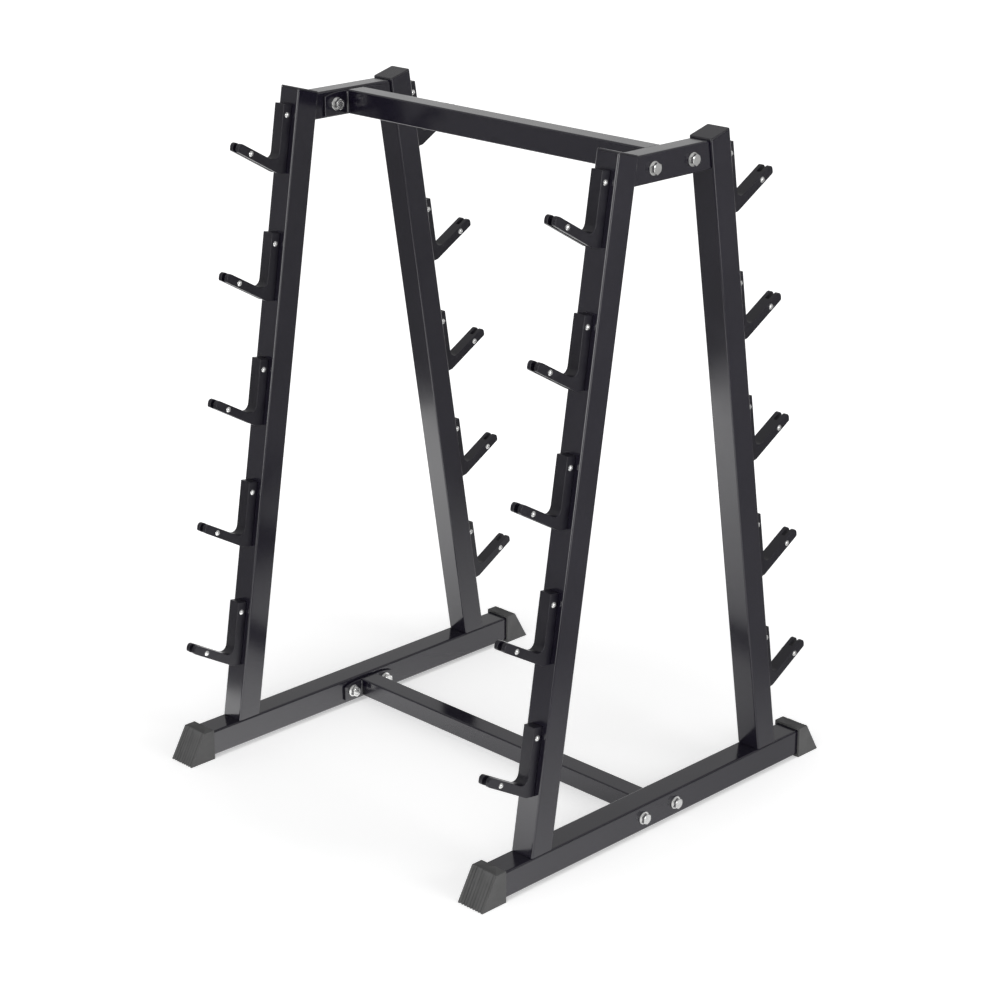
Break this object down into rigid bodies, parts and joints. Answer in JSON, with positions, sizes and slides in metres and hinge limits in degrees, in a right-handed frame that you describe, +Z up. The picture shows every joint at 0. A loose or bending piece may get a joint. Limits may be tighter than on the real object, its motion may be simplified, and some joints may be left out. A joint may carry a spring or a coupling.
{
  "type": "barbell storage rack",
  "caption": "Free-standing A-frame storage rack of square steel tube, with sleeved hooks on its leaning posts that hold fixed barbells one above another on both sides.",
  "frame": {"origin": "on the floor, in the middle of the rack", "axes": "+Z up; X along the crossbars and the stored bars, +X to the right frame; Y along the base tubes, -Y to the front"},
  "size_m": [0.8546, 0.9084, 1.2523],
  "materials": {
    "powder_coat": "charcoal black powder coat, semi-gloss and smooth",
    "hook_plastic": "black moulded plastic, satin",
    "cap_plastic": "black moulded plastic, finely grained",
    "foot_rubber": "grey rubber, matt, with raised ribs on the toe",
    "zinc_plate": "bright zinc plate"
  },
  "bodies": {
    "root": {"left_base_tube": "powder_coat", "left_top_tube": "powder_coat", "left_front_foot": "foot_rubber", "left_front_post": "powder_coat", "left_front_post_cap": "cap_plastic", "left_front_hook_sleeve_1": "hook_plastic", "left_front_hook_sleeve_2": "hook_plastic", "left_front_hook_sleeve_3": "hook_plastic", "left_front_hook_sleeve_4": "hook_plastic", "left_front_hook_sleeve_5": "hook_plastic", "left_rear_foot": "foot_rubber", "left_rear_post": "powder_coat", "left_rear_post_cap": "cap_plastic", "left_rear_hook_sleeve_1": "hook_plastic", "left_rear_hook_sleeve_2": "hook_plastic", "left_rear_hook_sleeve_3": "hook_plastic", "left_rear_hook_sleeve_4": "hook_plastic", "left_rear_hook_sleeve_5": "hook_plastic", "right_base_tube": "powder_coat", "right_top_tube": "powder_coat", "right_front_foot": "foot_rubber", "right_front_post": "powder_coat", "right_front_post_cap": "cap_plastic", "right_front_hook_sleeve_1": "hook_plastic", "right_front_hook_sleeve_2": "hook_plastic", "right_front_hook_sleeve_3": "hook_plastic", "right_front_hook_sleeve_4": "hook_plastic", "right_front_hook_sleeve_5": "hook_plastic", "right_rear_foot": "foot_rubber", "right_rear_post": "powder_coat", "right_rear_post_cap": "cap_plastic", "right_rear_hook_sleeve_1": "hook_plastic", "right_rear_hook_sleeve_2": "hook_plastic", "right_rear_hook_sleeve_3": "hook_plastic", "right_rear_hook_sleeve_4": "hook_plastic", "right_rear_hook_sleeve_5": "hook_plastic", "upper_crossbar": "powder_coat", "upper_right_plate": "powder_coat", "upper_right_front_bolt": "zinc_plate", "upper_right_front_nut": "zinc_plate", "upper_right_rear_bolt": "zinc_plate", "upper_right_rear_nut": "zinc_plate", "upper_left_plate": "powder_coat", "upper_left_front_bolt": "zinc_plate", "upper_left_front_nut": "zinc_plate", "upper_left_rear_bolt": "zinc_plate", "upper_left_rear_nut": "zinc_plate", "lower_crossbar": "powder_coat", "lower_right_plate": "powder_coat", "lower_right_front_bolt": "zinc_plate", "lower_right_front_nut": "zinc_plate", "lower_right_rear_bolt": "zinc_plate", "lower_right_rear_nut": "zinc_plate", "lower_left_plate": "powder_coat", "lower_left_front_bolt": "zinc_plate", "lower_left_front_nut": "zinc_plate", "lower_left_rear_bolt": "zinc_plate", "lower_left_rear_nut": "zinc_plate"}
  },
  "joints": []
}
